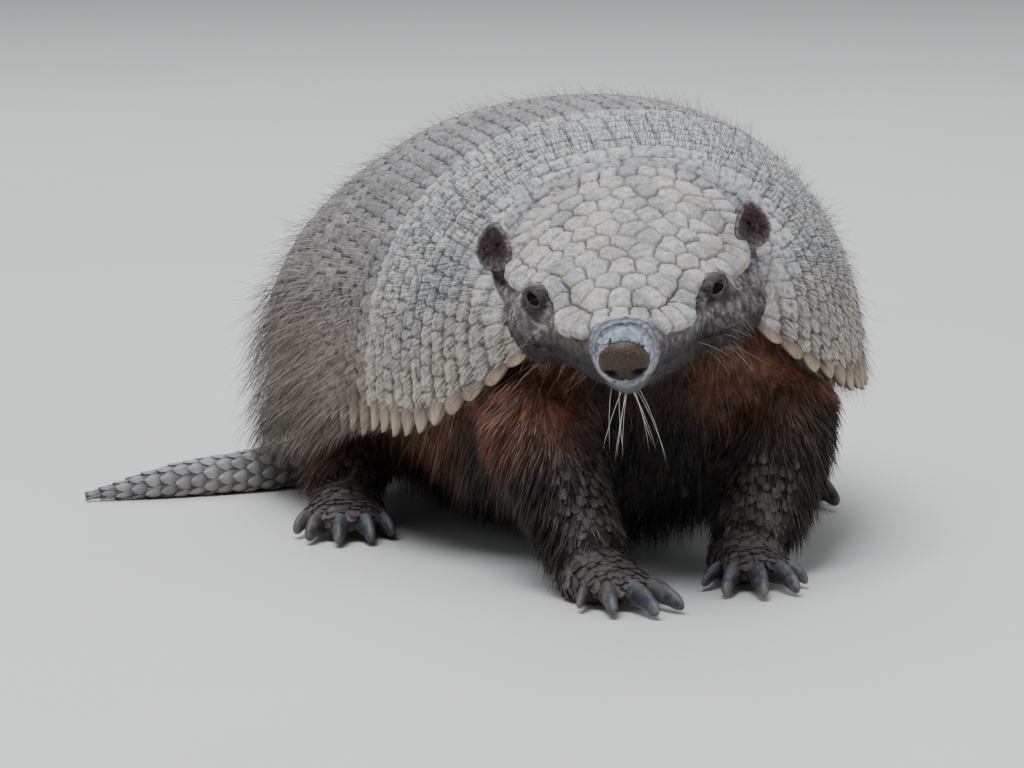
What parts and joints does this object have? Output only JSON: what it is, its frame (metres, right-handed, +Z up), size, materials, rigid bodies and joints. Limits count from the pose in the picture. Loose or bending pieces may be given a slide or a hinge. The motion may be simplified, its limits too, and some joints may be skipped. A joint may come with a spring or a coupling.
{
  "type": "armadillo",
  "caption": "Life-size big hairy armadillo standing low on bent legs, head facing front, tail laid to its right on the floor.",
  "frame": {"origin": "middle of the whole animal's box, on the floor that its soles, claws and tail rest on", "axes": "+Z up, +X towards the animal's left, +Y towards its tail, so it walks towards -Y"},
  "size_m": [0.2261, 0.2962, 0.1302],
  "materials": {
    "plate": "pale grey-brown horn over bone, cracked and dusty",
    "band": "dark grey-brown horn over bone",
    "fur": "coarse blackish-brown hair",
    "face_skin": "wrinkled purple-grey skin",
    "rufous_skin": "bare rust-brown skin with thin hair",
    "foot_skin": "scaly brown-grey skin",
    "claw": "blue-grey horn",
    "nose": "moist brown skin with sand on it",
    "eye": "wet near-black eyeball",
    "tail": "grey horny rings of scales"
  },
  "bodies": {
    "root": {"band_1": "band", "band_2": "band", "band_3": "band", "band_4": "band", "band_5": "band", "band_6": "band", "band_7": "band", "ear_left": "face_skin", "ear_right": "face_skin", "eye_left": "eye", "eye_right": "eye", "fore_foot_left": "foot_skin", "fore_foot_left_claw_1": "claw", "fore_foot_left_claw_2": "claw", "fore_foot_left_claw_3": "claw", "fore_foot_left_claw_4": "claw", "fore_foot_left_claw_5": "claw", "fore_foot_right": "foot_skin", "fore_foot_right_claw_1": "claw", "fore_foot_right_claw_2": "claw", "fore_foot_right_claw_3": "claw", "fore_foot_right_claw_4": "claw", "fore_foot_right_claw_5": "claw", "fore_leg_left": "fur", "fore_leg_right": "fur", "head": "face_skin", "head_shield": "plate", "hind_foot_left": "foot_skin", "hind_foot_left_claw_1": "claw", "hind_foot_left_claw_2": "claw", "hind_foot_left_claw_3": "claw", "hind_foot_left_claw_4": "claw", "hind_foot_left_claw_5": "claw", "hind_foot_right": "foot_skin", "hind_foot_right_claw_1": "claw", "hind_foot_right_claw_2": "claw", "hind_foot_right_claw_3": "claw", "hind_foot_right_claw_4": "claw", "hind_foot_right_claw_5": "claw", "hind_leg_left": "fur", "hind_leg_right": "fur", "neck": "rufous_skin", "nose": "nose", "pelvic_shield": "band", "scapular_shield": "plate", "tail_base": "tail", "tail_middle": "tail", "tail_tip": "tail", "trunk": "fur"}
  },
  "joints": []
}
